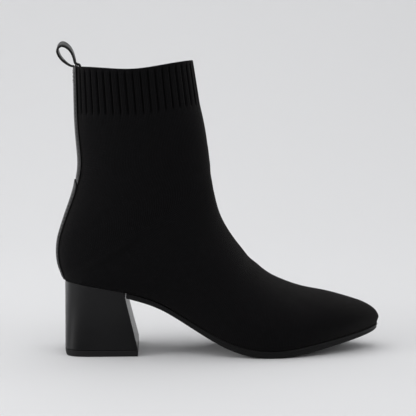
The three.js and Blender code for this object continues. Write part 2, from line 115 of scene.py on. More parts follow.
class SoleSettings(bpy.types.PropertyGroup):
    colour: bpy.props.FloatVectorProperty(
        name="Sole colour", description="Colour of the sole",
        subtype="COLOR", size=3, min=0, max=1, default=(0.0024, 0.0024, 0.0026))
    edge: bpy.props.FloatProperty(
        name="Sole edge", description="Rounding of the sole's edges",
        default=0.30 * MM, unit="LENGTH")


class StageSettings(bpy.types.PropertyGroup):
    floor_colour: bpy.props.FloatVectorProperty(
        name="Floor colour", description="Colour of the floor and the backdrop",
        subtype="COLOR", size=3, min=0, max=1, default=(0.75, 0.753, 0.76))
    distance: bpy.props.FloatProperty(
        name="Camera distance", description="Distance of the camera from the boot's middle",
        default=0.950, unit="LENGTH")
    height: bpy.props.FloatProperty(
        name="Camera height", description="Height of the camera over the floor",
        default=0.205, unit="LENGTH")
    pitch: bpy.props.FloatProperty(
        name="Camera pitch", description="How far the camera looks down",
        default=math.radians(5.87), subtype="ANGLE")
    turn: bpy.props.FloatProperty(
        name="Camera turn", description="How far the camera stands round to the heel",
        default=math.radians(2.35), subtype="ANGLE")
    aim: bpy.props.FloatProperty(
        name="Camera aim", description="Place along the boot that the camera turns about",
        default=-8.4 * MM, unit="LENGTH")
    view_angle: bpy.props.FloatProperty(
        name="View angle", description="Angle that the square picture covers",
        default=math.radians(18.65), subtype="ANGLE")


# Shader helpers

class Finish:
    """A material with short ways to add nodes and join them."""

    def __init__(self, name, colour, roughness, specular=0.5):
        self.material = bpy.data.materials.new(name)
        self.material.use_nodes = True
        self.tree = self.material.node_tree
        self.shader = self.tree.nodes["Principled BSDF"]
        self.set("Base Color", (*colour, 1))
        self.set("Roughness", roughness)
        self.set("Specular IOR Level", specular)
        self.material.diffuse_color = (*colour, 1)

    def set(self, socket, value):
        self.shader.inputs[socket].default_value = value

    def join(self, source, target):
        self.tree.links.new(source, target)

    def node(self, kind, **values):
        made = self.tree.nodes.new(kind)
        for name, value in values.items():
            setattr(made, name, value)
        return made

    def math(self, operation, first, second=None):
        made = self.node("ShaderNodeMath", operation=operation)
        for socket, value in zip(made.inputs, (first, second)):
            if isinstance(value, bpy.types.NodeSocket):
                self.join(value, socket)
            elif value is not None:
                socket.default_value = value
        return made.outputs[0]

    def place(self):
        """The point on the piece, in metres."""
        return self.node("ShaderNodeTexCoord").outputs["Object"]

    def noise(self, size, detail=3.0):
        """Soft noise from 0 to 1, with patches of about the size given."""
        made = self.node("ShaderNodeTexNoise")
        made.inputs["Scale"].default_value = 1 / size
        made.inputs["Detail"].default_value = detail
        self.join(self.place(), made.inputs["Vector"])
        return made.outputs["Fac"]

    def pores(self, size):
        """Distance to the nearest leather pore."""
        made = self.node("ShaderNodeTexVoronoi", feature="SMOOTH_F1")
        made.inputs["Scale"].default_value = 1 / size
        self.join(self.place(), made.inputs["Vector"])
        return made.outputs["Distance"]

    def spread(self, value, low, high):
        """Maps 0 to 1 onto low to high."""
        made = self.node("ShaderNodeMapRange")
        made.inputs["To Min"].default_value = low
        made.inputs["To Max"].default_value = high
        self.join(value, made.inputs["Value"])
        return made.outputs["Result"]

    def vary(self, socket, value, low, high):
        self.join(self.spread(value, low, high), self.shader.inputs[socket])

    def tint(self, value, dark, light):
        """Colours the piece from dark to light by a value from 0 to 1."""
        ramp = self.node("ShaderNodeValToRGB")
        ramp.color_ramp.elements[0].color = (*dark, 1)
        ramp.color_ramp.elements[1].color = (*light, 1)
        self.join(value, ramp.inputs["Fac"])
        self.join(ramp.outputs["Color"], self.shader.inputs["Base Color"])

    def bump(self, height, depth, strength=1.0, under=None):
        """Relief of the depth given. A second relief can lie under it."""
        made = self.node("ShaderNodeBump")
        made.inputs["Strength"].default_value = strength
        made.inputs["Distance"].default_value = depth
        self.join(height, made.inputs["Height"])
        if under is not None:
            self.join(under, made.inputs["Normal"])
        self.join(made.outputs["Normal"], self.shader.inputs["Normal"])
        return made.outputs["Normal"]


def shaded(colour, share):
    """The colour made darker or lighter by a share."""
    return tuple(channel * share for channel in colour)


# Finishes of the boot

WALE_MAP = "wales"
# Share of a rib valley at each point of the knit. The knit's finish reads it to paint shade into
# the valleys.
GROOVE = "groove"


def knit_finish(settings):
    """Fine stretch knit: columns of small V stitches with a short nap. Its colour carries painted
    shade: darker between the stitches and in the valleys between the ribs, with its sheen weakened
    in the valleys.
    """
    finish = Finish("knit", settings.colour, 0.95, 0.08)
    finish.set("Sheen Roughness", 0.35)
    finish.set("Sheen Tint", (1.0, 0.93, 0.88, 1))
    wales = finish.node("ShaderNodeUVMap", uv_map=WALE_MAP).outputs["UV"]
    parts = finish.node("ShaderNodeSeparateXYZ")
    finish.join(wales, parts.inputs[0])
    across = finish.math("DIVIDE", parts.outputs["X"], settings.wale)
    along = finish.math("DIVIDE", parts.outputs["Y"], settings.course)
    in_wale = finish.math("SUBTRACT", finish.math("FRACT", across), 0.5)
    leg = finish.math("ABSOLUTE", in_wale)
    column = finish.math("COSINE", finish.math("MULTIPLY", in_wale, math.pi))
    slant = finish.math("ADD", along, leg)
    stitch = finish.math("SINE", finish.math("MULTIPLY", slant, math.tau))
    relief = finish.math("MULTIPLY_ADD", stitch, 0.35)
    relief.node.inputs[2].default_value = 0.65
    height = finish.math("MULTIPLY", relief, column)
    nap = finish.noise(0.35 * MM, 2.0)
    soft = finish.bump(nap, 0.10 * MM, 0.5)
    finish.bump(height, 0.22 * MM, 0.9, soft)
    # Painted shade: lit_share lowers the colour and the sheen in the rib valleys.
    groove = finish.node("ShaderNodeAttribute", attribute_name=GROOVE).outputs["Fac"]
    lit_share = finish.math("SUBTRACT", 1.0, groove)
    patches = finish.spread(finish.noise(3.5 * MM, 4.0), 0.55, 1.25)
    shade = finish.math("MULTIPLY", finish.math("MULTIPLY", height, patches), lit_share)
    # Painted light and shade: the stitches' tops are lighter and the gaps between them darker. The
    # patches are the yarn's own uneven tone.
    finish.tint(shade, shaded(settings.colour, 0.25), shaded(settings.colour, 1.9))
    finish.vary("Sheen Weight", lit_share, 0.0, 0.05)
    return finish.material


def leather_finish(name, colour, roughness, pore_depth, specular=0.5):
    """Smooth leather with fine pores and slight wear in its gloss."""
    finish = Finish(name, colour, roughness, specular)
    patches = finish.noise(9 * MM, 4.0)
    finish.vary("Roughness", patches, roughness - 0.06, roughness + 0.06)
    finish.tint(patches, shaded(colour, 0.85), shaded(colour, 1.15))
    wrinkles = finish.bump(finish.noise(1.6 * MM, 5.0), 0.05 * MM, 0.6)
    finish.bump(finish.pores(0.8 * MM), pore_depth, 0.6, wrinkles)
    return finish.material


def edge_and_shade_finish():
    """Black paint on the cut edges of the leather. The pull loop also wears it on its sewn end as
    painted shade.
    """
    finish = Finish("edge_paint_and_shade", (0.0022, 0.0022, 0.0023), 0.62, 0.3)
    finish.bump(finish.noise(0.6 * MM, 3.0), 0.05 * MM, 0.7)
    finish.vary("Roughness", finish.noise(3 * MM), 0.52, 0.7)
    return finish.material


def sole_finish(colour):
    """Satin moulded sole with faint drag marks."""
    finish = Finish("sole", colour, 0.42, 0.17)
    finish.vary("Roughness", finish.noise(6 * MM, 4.0), 0.36, 0.5)
    finish.bump(finish.noise(0.5 * MM, 3.0), 0.03 * MM, 0.6)
    return finish.material


def rubber_finish():
    """Matt rubber with a fine grain."""
    finish = Finish("rubber", (0.0055, 0.0055, 0.0057), 0.62, 0.25)
    finish.vary("Roughness", finish.noise(4 * MM, 3.0), 0.55, 0.7)
    finish.bump(finish.noise(0.35 * MM, 3.0), 0.05 * MM, 0.6)
    return finish.material


def lining_finish():
    """Dark footbed cloth."""
    finish = Finish("lining", (0.022, 0.0205, 0.019), 0.8, 0.25)
    finish.tint(finish.noise(5 * MM, 4.0), (0.017, 0.016, 0.015), (0.028, 0.026, 0.024))
    finish.bump(finish.noise(0.5 * MM, 4.0), 0.10 * MM, 0.6)
    return finish.material


def thread_finish():
    """Black sewing thread with a twist."""
    finish = Finish("thread", (0.008, 0.008, 0.0085), 0.6, 0.4)
    finish.set("Sheen Weight", 0.1)
    finish.bump(finish.noise(0.25 * MM, 2.0), 0.05 * MM, 0.8)
    return finish.material


# Mesh helpers

WELD = 0.01 * MM
QUAD_FLATNESS = math.radians(35)
QUAD_SKEW = math.radians(100)
SMOOTH_LEVELS = 2


def merged_copy(node):
    """A bmesh of a CAD node with its loose triangles welded together at their shared corners."""
    shape = bmesh.new()
    shape.from_mesh(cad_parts[node].data)
    bmesh.ops.remove_doubles(shape, verts=shape.verts, dist=WELD)
    return shape


def make_quads(shape):
    bmesh.ops.join_triangles(
        shape, faces=shape.faces, angle_face_threshold=QUAD_FLATNESS,
        angle_shape_threshold=QUAD_SKEW)


def new_piece(name, shape, materials):
    """Makes an object of a bmesh, at the origin."""
    mesh = bpy.data.meshes.new(name)
    shape.to_mesh(mesh)
    shape.free()
    for material in materials:
        mesh.materials.append(material)
    mesh.shade_smooth()
    piece = bpy.data.objects.new(name, mesh)
    bpy.context.scene.collection.objects.link(piece)
    return piece


def subdivide(piece, levels=SMOOTH_LEVELS):
    modifier = piece.modifiers.new("smooth", "SUBSURF")
    modifier.levels = levels
    modifier.render_levels = levels


def take_place(piece, slot, *nodes):
    """Puts a finished piece on the boot's body in place of CAD nodes."""
    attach(piece, "root")
    if nodes:
        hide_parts(*nodes)


def sharp_edges(shape, angle):
    return [edge for edge in shape.edges if edge.is_manifold and edge.calc_face_angle() > angle]


def round_edges(shape, angle, size, segments=2):
    bmesh.ops.bevel(
        shape, geom=sharp_edges(shape, angle), offset=size, segments=segments,
        profile=0.5, affect="EDGES", clamp_overlap=True, material=-1)


# The form of the upper, read from its solid

# Lines across the boot from the sole or the back up to the instep or the front. Their ends are
# shares of the upper's length and height. side moves a line inward, as a share of half the width.
# sag is how far the middle of a line hangs, as a share of the height.
LINE_COLUMNS = ("low_x", "low_z", "high_x", "high_z", "side", "sag")
LINES = (
    (0.9993, 0.0780, 0.9997, 0.0820, 0.100, 0.0),
    (0.976, 0.055, 0.983, 0.112, 0.097, 0.0),
    (0.899, 0.039, 0.902, 0.154, 0.068, 0.0),
    (0.769, 0.015, 0.756, 0.194, 0.027, 0.0),
    (0.613, 0.002, 0.640, 0.252, -0.013, 0.0),
    (0.520, 0.026, 0.599, 0.293, -0.048, 0.0),
    (0.417, 0.087, 0.558, 0.349, -0.059, 0.0),
    (0.315, 0.158, 0.529, 0.396, -0.053, 0.0),
    (0.217, 0.194, 0.507, 0.442, -0.035, 0.0),
    (0.136, 0.214, 0.493, 0.482, -0.015, 0.0),
    (0.078, 0.225, 0.485, 0.519, -0.006, 0.0),
    (0.021, 0.231, 0.478, 0.564, 0.0, 0.0),
    (0.003, 0.285, 0.474, 0.590, 0.0, 0.0),
    (0.003, 0.371, 0.471, 0.618, 0.0, 0.0),
    (0.030, 0.468, 0.469, 0.648, 0.0, 0.0),
    (0.061, 0.578, 0.464, 0.686, 0.0, 0.0),
    (0.066, 0.693, 0.458, 0.740, 0.0, 0.005),
    (0.060, 0.802, 0.440, 0.837, 0.0, 0.014),
    (0.058, 0.977, 0.417, 1.000, 0.0, 0.020),
)
TIP_LINE, TOE_LINE, SEAT_LINE, BACK_LINE = 0, 1, 11, 12
COLLAR_LINE = len(LINES) - 1
TIP_ROUNDING = 0.1 * MM

# Between these places the surface is drawn straight from one section to the other.
SEAT_START = 10.6
SEAT_END = 11.3


def curve_through(values, at):
    """A smooth curve through evenly numbered values, read at the places given."""
    values = np.asarray(values, float)
    at = np.clip(np.asarray(at, float), 0, len(values) - 1)
    index = np.minimum(at.astype(int), len(values) - 2)
    part = at - index
    ends = np.concatenate(([2 * values[0] - values[1]], values, [2 * values[-1] - values[-2]]))
    before, start, end, after = (ends[index + k] for k in range(4))
    bend = 2 * before - 5 * start + 4 * end - after
    twist = 3 * (start - end) + after - before
    return start + 0.5 * part * (end - before + part * (bend + part * twist))


class BootForm:
    """Finds points on the upper's outer surface by section lines and shares round them."""

    def __init__(self, tree):
        self.tree = tree
        low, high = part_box("upper")
        size = high - low
        table = np.array(LINES)
        columns = {name: table[:, i] for i, name in enumerate(LINE_COLUMNS)}
        self.low_x = low.x + columns["low_x"] * size.x
        self.low_z = low.z + columns["low_z"] * size.z
        self.high_x = low.x + columns["high_x"] * size.x
        self.high_z = low.z + columns["high_z"] * size.z
        self.side = columns["side"] * size.y / 2
        self.sag = columns["sag"] * size.z
        self.seat_ends = None

    def line(self, place):
        """The two ends of a section line and its sag."""
        read = lambda values: float(curve_through(values, place))
        side = read(self.side)
        low = Vector((read(self.low_x), side, read(self.low_z)))
        high = Vector((read(self.high_x), side, read(self.high_z)))
        return low, high, read(self.sag)

    def ray(self, place, angle):
        """Where a section line's middle is for an angle, and the way that the angle points."""
        low, high, sag = self.line(place)
        drop = Vector((0, 0, -sag * math.sin(math.pi * (1 + math.cos(angle)) / 2)))
        way = math.cos(angle) * (high - low).normalized() + Vector((0, math.sin(angle), 0))
        return (low + high) / 2 + drop, way, (high - low).length / 2

    def radius(self, place, angle):
        """Distance to the surface at an angle round a section line, from its high end over the
        inner side, as a share of the line's half length."""
        for nudge in (0, 0.001, -0.001):
            middle, way, half = self.ray(place, angle + nudge)
            point = self.tree.ray_cast(middle, way)[0]
            if point is not None:
                return (point - middle).length / half
        return None

    def open_angle(self, place, side):
        """How far round the surface reaches on one side before the sole's edge."""
        if place > SEAT_LINE:
            return math.pi
        found, missed = math.pi / 3, math.pi
        for _ in range(24):
            middle = (found + missed) / 2
            if self.radius(place, side * middle) is None:
                missed = middle
            else:
                found = middle
        return found

    def profile(self, place, count):
        """Angles and radii along a section, from the outer edge over the top to the inner."""
        angles = np.linspace(-self.open_angle(place, -1), self.open_angle(place, 1), count)
        radii = [self.radius(place, angle) for angle in angles]
        seen = [i for i, radius in enumerate(radii) if radius is not None]
        return angles, np.interp(range(count), seen, [radii[i] for i in seen])

    def seat_profiles(self, count):
        """The profiles on both sides of the heel seat, worked out once."""
        if self.seat_ends is None:
            self.seat_ends = [self.profile(place, count) for place in (SEAT_START, SEAT_END)]
        return self.seat_ends

    def section(self, place, columns):
        """Points spread evenly along a section."""
        count = 4 * columns
        if SEAT_START < place < SEAT_END:
            part = (place - SEAT_START) / (SEAT_END - SEAT_START)
            ends = self.seat_profiles(count)
            angles, radii = ((1 - part) * ends[0][k] + part * ends[1][k] for k in range(2))
        else:
            angles, radii = self.profile(place, count)
        points = []
        for angle, radius in zip(angles, radii):
            middle, way, half = self.ray(place, angle)
            points.append((middle + way * (radius * half))[:])
        points = np.array(points)
        steps = np.linalg.norm(np.diff(points, axis=0), axis=1)
        lengths = np.concatenate(([0], np.cumsum(steps)))
        wanted = np.linspace(0, lengths[-1], columns + 1)
        return np.stack([np.interp(wanted, lengths, points[:, k]) for k in range(3)], axis=1)

    def tip(self):
        """The foremost point of the toe."""
        low, high, _ = self.line(TIP_LINE)
        return (low + high) / 2 + Vector((TIP_ROUNDING, 0, 0))


REACH_OVER_COLLAR = 4 * MM
RIM_ANGLE = math.radians(42)

# The lines of points where the cuff's facets fan out: edges at a point, and depths from the top.
RING_EDGES = 8
CUFF_DEPTH = 60 * MM
COLLAR_DEPTH = 12 * MM

# Edges longer than this climb over the cuff, and are cut into shorter ones.
CLIMB_LENGTH = 15 * MM
CLIMB_CUTS = 5

FORM_LEVELS = 3
FORM_CORRECTIONS = 5


def order_round(points):
    """Order of the points round their middle, from just past the back."""
    middle = sum(points, Vector()) / len(points)
    past_back = 0.05
    turns = [(math.atan2(p.y - middle.y, p.x - middle.x) - math.pi + past_back) % math.tau
             for p in points]
    return sorted(range(len(points)), key=turns.__getitem__)


def outer_patch():
    """The outer side of the upper's solid below the cuff, drawn on smoothly past the collar."""
    shape = merged_copy("upper")
    collar_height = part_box("upper")[1].z
    rings = {vert for vert in shape.verts
             if len(vert.link_edges) >= RING_EDGES and vert.co.z > collar_height - CUFF_DEPTH}
    seed = min(shape.faces, key=lambda face: face.calc_center_median().y)
    kept = {seed}
    waiting = [seed]
    while waiting:
        for edge in waiting.pop().edges:
            border = edge.verts[0] in rings and edge.verts[1] in rings
            if border or not edge.is_manifold or abs(edge.calc_face_angle()) > RIM_ANGLE:
                continue
            for face in edge.link_faces:
                if face not in kept:
                    kept.add(face)
                    waiting.append(face)
    collar = [vert.co.copy() for vert in shape.verts
              if vert in rings and vert.co.z > collar_height - COLLAR_DEPTH]
    drop = [face for face in shape.faces if face not in kept]
    bmesh.ops.delete(shape, geom=drop, context="FACES")
    make_quads(shape)
    top = [edge for edge in shape.edges
           if edge.is_boundary and edge.verts[0] in rings and edge.verts[1] in rings]
    made = bmesh.ops.extrude_edge_only(shape, edges=top)["geom"]
    raised = [item for item in made if isinstance(item, bmesh.types.BMVert)]
    low_order = order_round([vert.co for vert in raised])
    high_order = order_round(collar)
    for low, high in zip(low_order, high_order):
        upward = (collar[high] - raised[low].co).normalized()
        raised[low].co = collar[high] + upward * REACH_OVER_COLLAR
    climbing = [item for item in made if isinstance(item, bmesh.types.BMFace)]
    upright = {edge for face in climbing for edge in face.edges
               if abs(edge.verts[0].co.z - edge.verts[1].co.z) > CLIMB_LENGTH}
    in_order = [edge for edge in shape.edges if edge in upright]
    bmesh.ops.subdivide_edges(shape, edges=in_order, cuts=CLIMB_CUTS)
    return shape


def smooth_tree(shape):
    """A tree of the shape's smooth surface, which passes through the shape's own points."""
    piece = new_piece("smooth_form", shape, [])
    subdivide(piece, FORM_LEVELS)
    count = len(piece.data.vertices)
    own = np.array([vert.co[:] for vert in piece.data.vertices])
    held = own.copy()
    for _ in range(FORM_CORRECTIONS):
        graph = bpy.context.evaluated_depsgraph_get()
        reached = piece.evaluated_get(graph).data
        moved = np.array([vert.co[:] for vert in reached.vertices[:count]])
        held += own - moved
        piece.data.vertices.foreach_set("co", held.ravel())
        piece.data.update()
    graph = bpy.context.evaluated_depsgraph_get()
    reached = piece.evaluated_get(graph).to_mesh()
    points = [vert.co.copy() for vert in reached.vertices]
    faces = [tuple(face.vertices) for face in reached.polygons]
    mesh = piece.data
    bpy.data.objects.remove(piece)
    bpy.data.meshes.remove(mesh)
    return BVHTree.FromPolygons(points, faces)


# The knit upper

# Soft folds of the knit. line: place along the boot. round: share round it, outer side negative.
# turn: direction, 0 along the boot. reach, width: half lengths in millimetres. depth: millimetres,
# troughs negative.
FOLD_COLUMNS = ("line", "round", "turn", "reach", "width", "depth")
FOLDS = (
    (12.6, -0.02, 90, 34, 16.0, -0.20),
    (11.2, 0.03, 90, 26, 13.0, -0.25),
    (14.3, -0.34, 62, 22, 5.0, -0.5),
    (14.0, 0.36, 118, 22, 5.0, -0.5),
    (13.2, -0.62, 78, 20, 5.5, -0.5),
    (13.2, 0.62, 102, 20, 5.5, -0.5),
    (5.2, -0.05, 90, 26, 6.0, -0.5),
    (4.4, 0.03, 90, 28, 7.0, 0.4),
    (8.3, -0.66, 12, 30, 7.0, -0.6),
    (8.3, 0.66, -12, 30, 7.0, -0.6),
    (3.2, -0.45, 60, 20, 6.0, -0.35),
    (3.2, 0.45, -60, 20, 6.0, -0.35),
)

HEM_ROLL = 0.5
COLUMNS_PER_RIB = 9
RIB_VALLEY = 7 / 9
RIB_VALLEY_WIDTH = 0.11
RIB_START = 3 * MM
RIB_END = 1.5 * MM

# Length round the boot that the columns of stitches and the folds are measured on.
GIRTH = 0.24

# The rolled edge at the collar: turns of its rows in degrees, and their spacing in the stitches.
HEM_TURNS = (22.5, 45, 67.5, 90)
HEM_STEP = 0.4 * MM

# Distances under which the two ends of a row count as one, and under which its points are joined.
ROW_CLOSED = 0.05 * MM
ROW_WELD = 0.02 * MM

# Rows along the boot: first place, last place and number of places.
CUFF_APPROACH = 16
ROW_SPANS = (
    (TOE_LINE, 3, 13),
    (3, 8, 28),
    (8, 10, 11),
    (10, BACK_LINE, 13),
    (BACK_LINE, CUFF_APPROACH, 15),
)


def upper_places(form, cuff_height, hem_roll):
    """Places of the rows along the boot, close together where the form turns fast."""
    collar_low = form.line(COLLAR_LINE)[0].z
    reach = np.linspace(BACK_LINE, COLLAR_LINE, 400)
    heights = curve_through(form.low_z, reach)
    cuff, collar = np.interp((collar_low - cuff_height, collar_low - hem_roll), heights, reach)
    tip = TIP_LINE + (TOE_LINE - TIP_LINE) * np.linspace(0, 1, 9) ** 1.6
    spans = (*ROW_SPANS, (CUFF_APPROACH, cuff, 6), (cuff, collar, 21))
    return np.concatenate((tip, *(np.linspace(*span)[1:] for span in spans))), cuff


def row_normals(points):
    """Outward normals of a grid of points, rows along the boot, columns round it."""
    along = np.gradient(points, axis=0)
    around = np.gradient(points, axis=1)
    normals = np.cross(around, along)
    lengths = np.linalg.norm(normals, axis=2, keepdims=True)
    return normals / np.maximum(lengths, 1e-12)


def rib_valleys(settings, shares, climb):
    """Share of the valleys between the ribs. climb is the height over the cuff's lower edge."""
    phase = (shares + 1) / 2 * settings.ribs
    phase = phase - np.floor(phase)
    valley = np.exp(-((phase - RIB_VALLEY) / RIB_VALLEY_WIDTH) ** 2)
    fade_in = np.clip(climb / RIB_START, 0, 1)
    fade_out = np.clip((settings.cuff_height - settings.hem - climb) / RIB_END, 0, 1)
    fade = (fade_in * fade_out) ** 0.7
    return valley[None, :] * fade[:, None]


def folds_relief(places, along, shares):
    """Height of the soft folds over the smooth surface."""
    relief = np.zeros((len(places), len(shares)))
    for row in FOLDS:
        fold = dict(zip(FOLD_COLUMNS, row))
        middle = np.interp(fold["line"], places, along)
        forward = (along - middle)[:, None]
        sideways = ((shares - fold["round"]) * GIRTH / 2)[None, :]
        turn = math.radians(fold["turn"])
        down_fold = (forward * math.cos(turn) + sideways * math.sin(turn)) / (fold["reach"] * MM)
        over_fold = (sideways * math.cos(turn) - forward * math.sin(turn)) / (fold["width"] * MM)
        relief += fold["depth"] * MM * np.exp(-down_fold ** 2 - over_fold ** 2)
    return relief


def knit_upper(settings):
    form = BootForm(smooth_tree(outer_patch()))
    columns = COLUMNS_PER_RIB * settings.ribs
    hem_roll = HEM_ROLL * settings.wall
    places, cuff = upper_places(form, settings.cuff_height, hem_roll)
    shares = np.linspace(-1, 1, columns + 1)
    points = np.stack([form.section(place, columns) for place in places])
    points[0] = form.tip()
    centres = points.mean(axis=1)
    along = np.concatenate(([0], np.cumsum(np.linalg.norm(np.diff(centres, axis=0), axis=1))))
    heights = curve_through(form.low_z, places)
    climb = heights - float(curve_through(form.low_z, cuff))
    normals = row_normals(points)
    grooves = rib_valleys(settings, shares, climb)
    relief = folds_relief(places, along, shares) - settings.rib_depth * grooves
    closed = np.abs(points[:, 0] - points[:, -1]).max(axis=1) < ROW_CLOSED
    relief[closed, -1] = relief[closed, 0]
    points = points + normals * relief[:, :, None]
    points = add_hem(points, normals, hem_roll)
    rows = len(points)
    hem_rows = np.arange(1, len(HEM_TURNS) + 1)
    along = np.concatenate((along, along[-1] + hem_rows * HEM_STEP))
    shape = bmesh.new()
    bmesh.ops.create_grid(shape, x_segments=columns, y_segments=rows - 1, size=1)
    shape.verts.ensure_lookup_table()
    flat = points.reshape(-1, 3)
    for vert, point in zip(shape.verts, flat):
        vert.co = point
    # Share of the rib valleys, which the knit's finish turns into painted shade.
    depth = shape.verts.layers.float.new(GROOVE)
    for vert, groove in zip(shape.verts, grooves.ravel()):
        vert[depth] = groove
    layer = shape.loops.layers.uv.new(WALE_MAP)
    for face in shape.faces:
        for loop in face.loops:
            row, column = divmod(loop.vert.index, columns + 1)
            loop[layer].uv = (shares[column] * GIRTH / 2, along[row])
    bmesh.ops.remove_doubles(shape, verts=shape.verts, dist=ROW_WELD)
    turn_outward(shape)
    piece = new_piece("knit_upper", shape, [knit_finish(settings)])
    wall = piece.modifiers.new("wall", "SOLIDIFY")
    wall.thickness = settings.wall
    wall.offset = -1
    take_place(piece, "knit", "upper")


def add_hem(points, normals, radius):
    """Rolls the top edge inward."""
    rolled = []
    for turn in HEM_TURNS:
        angle = math.radians(turn)
        inward = normals[-1] * (radius * (1 - math.cos(angle)))
        upward = np.array((0, 0, radius * math.sin(angle)))
        rolled.append(points[-1] - inward + upward)
    return np.concatenate((points, np.stack(rolled)))


def turn_outward(shape):
    """Turns an open sheet so that it faces away from the boot's middle."""
    face = min(shape.faces, key=lambda item: item.calc_center_median().y)
    if face.normal.y > 0:
        bmesh.ops.reverse_faces(shape, faces=shape.faces)


# Leather strips and their stitches

CUT_EDGE_ROUNDING = 0.28 * MM
CORNER_ANGLE = math.radians(55)

# The lap at the joint: how far it reaches down, stands out and drops at its corners.
LAP_REACH = 8 * MM
LAP_RISE = 0.7 * MM
LAP_DROP = 5 * MM
LAP_ROW = 1.6 * MM

# The seat of the pull loop on the back strip: depth of the strip's top row, and its rise.
LOOP_SEAT_DEPTH = 4.5 * MM
LOOP_SEAT_RISE = 0.8 * MM


def raise_lap(shape, node):
    """Lifts the top end of a strip off the knit, where it laps the strip over it."""
    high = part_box(node)[1]
    for height in np.arange(high.z - LAP_DROP - LAP_REACH, high.z - LAP_DROP, LAP_ROW):
        bmesh.ops.bisect_plane(
            shape, geom=[*shape.verts, *shape.edges, *shape.faces],
            plane_co=(0, 0, height), plane_no=(0, 0, 1))
    for vert in shape.verts:
        edge_height = high.z - LAP_DROP * (vert.co.y / high.y) ** 2
        near = 1 - (edge_height - vert.co.z) / LAP_REACH
        if near > 0:
            vert.co.x -= LAP_RISE * min(near, 1) ** 2


def reach_loop(shape, node):
    """Draws the middle of a strip's top edge up to the pull loop that it holds."""
    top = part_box(node)[1].z - LOOP_SEAT_DEPTH
    loop_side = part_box("pull_loop")[1].y
    for vert in shape.verts:
        if vert.co.z > top and abs(vert.co.y) < loop_side:
            vert.co.z += LOOP_SEAT_RISE


def strip_piece(name, node, materials, shape_end):
    """A leather strip with painted cut edges. shape_end gives its top end its form."""
    shape = merged_copy(node)
    make_quads(shape)
    shape_end(shape, node)
    for face in shape.faces:
        outward = face.normal.x < -0.35 or face.normal.x > 0.35
        face.material_index = 0 if outward else 1
    round_edges(shape, CORNER_ANGLE, CUT_EDGE_ROUNDING)
    piece = new_piece(name, shape, materials)
    subdivide(piece)
    take_place(piece, "leather", node)


def surface_tree(node):
    shape = merged_copy(node)
    tree = BVHTree.FromBMesh(shape)
    shape.free()
    return tree


# How far out and how finely a strip's edge is looked for.
EDGE_REACH = 16 * MM
EDGE_STEP = 0.25 * MM


def half_width_at(tree, height):
    """Half width of a strip on the back at a height."""
    found = 0.0
    for y in np.arange(0, EDGE_REACH, EDGE_STEP):
        if tree.ray_cast(Vector((-1, y, height)), Vector((1, 0, 0)))[0] is None:
            break
        found = y
    return found


# The stitches stop this far from a strip's ends.
STITCH_END = 4 * MM


def stitch_rows(node, settings):
    """Places and directions of the stitches along both edges of a strip."""
    tree = surface_tree(node)
    low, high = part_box(node)
    places = []
    height = low.z + STITCH_END
    while height < high.z - STITCH_END:
        half = half_width_at(tree, height) - settings.stitch_inset
        for side in (-1, 1):
            start = Vector((-1, side * half, height))
            point, normal, _, _ = tree.ray_cast(start, Vector((1, 0, 0)))
            above = tree.ray_cast(start + Vector((0, 0, 0.5 * MM)), Vector((1, 0, 0)))[0]
            if point is not None and above is not None:
                places.append((point, normal, (above - point).normalized()))
        height += settings.stitch_pitch
    return places


def stitched_piece(name, places, settings, material, length=2.1 * MM):
    """Short stitches of thread, half sunk into the leather, as one mesh."""
    shape = bmesh.new()
    for point, normal, way in places:
        side = normal.cross(way).normalized()
        turn = Matrix((way, side, normal)).transposed().to_4x4()
        size = Matrix.Diagonal((length / 2, settings.thread / 2, settings.thread / 2, 1))
        move = Matrix.Translation(point + normal * 0.05 * MM)
        bmesh.ops.create_uvsphere(
            shape, u_segments=8, v_segments=6, radius=1, matrix=move @ turn @ size)
    piece = new_piece(name, shape, [material])
    take_place(piece, "leather")


# Pull loop

LOOP_EDGE_ROUNDING = 0.22 * MM
# Height over the collar's top up to which the loop's sewn end is darkened with the edge finish, as
# painted shade.
LOOP_SHADED_END_HEIGHT = 0.4 * MM

# The box of stitches under the loop: half its width, its height and its drop from the strip's top.
STITCH_BOX_HALF = 3.2 * MM
STITCH_BOX_HEIGHT = 9 * MM
STITCH_BOX_DROP = 4.5 * MM


def pull_loop(materials):
    """The loop's leather, with paint on its cut edges. Its sewn end takes the same dark finish as
    painted shade where the loop meets the collar.
    """
    shape = merged_copy("pull_loop")
    make_quads(shape)
    round_edges(shape, CORNER_ANGLE, LOOP_EDGE_ROUNDING)
    shape.normal_update()
    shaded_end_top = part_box("upper")[1].z + LOOP_SHADED_END_HEIGHT
    for face in shape.faces:
        cut_edge = abs(face.normal.y) > 0.35
        # Painted shade: the sewn end, where the loop meets the collar, takes the dark edge finish.
        sewn = face.calc_center_median().z < shaded_end_top
        face.material_index = 1 if cut_edge or sewn else 0
    piece = new_piece("loop_leather", shape, materials)
    subdivide(piece)
    take_place(piece, "leather", "pull_loop")


def loop_stitches():
    """A small box of stitches where the loop is sewn to the back strip."""
    tree = surface_tree("back_strip")
    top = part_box("back_strip")[1].z - STITCH_BOX_DROP
    places = []
    for height in (top, top - STITCH_BOX_HEIGHT):
        for share in (-0.66, 0, 0.66):
            places.append((share * STITCH_BOX_HALF, height, Vector((0, 1, 0))))
    for y in (-STITCH_BOX_HALF, STITCH_BOX_HALF):
        for share in (0.17, 0.5, 0.83):
            places.append((y, top - share * STITCH_BOX_HEIGHT, Vector((0, 0, 1))))
    found = []
    for y, height, way in places:
        point, normal, _, _ = tree.ray_cast(Vector((-1, y, height)), Vector((1, 0, 0)))
        if point is not None:
            flat_way = (way - normal * way.dot(normal)).normalized()
            found.append((point, normal, flat_way))
    return found


# Heel, lift and sole

def block_piece(name, node, slot, material, edge, angle=math.radians(50)):
    """A solid piece with rounded edges and smooth sides."""
    shape = merged_copy(node)
    make_quads(shape)
    round_edges(shape, angle, edge)
    piece = new_piece(name, shape, [material])
    subdivide(piece)
    take_place(piece, slot, node)


# Stage

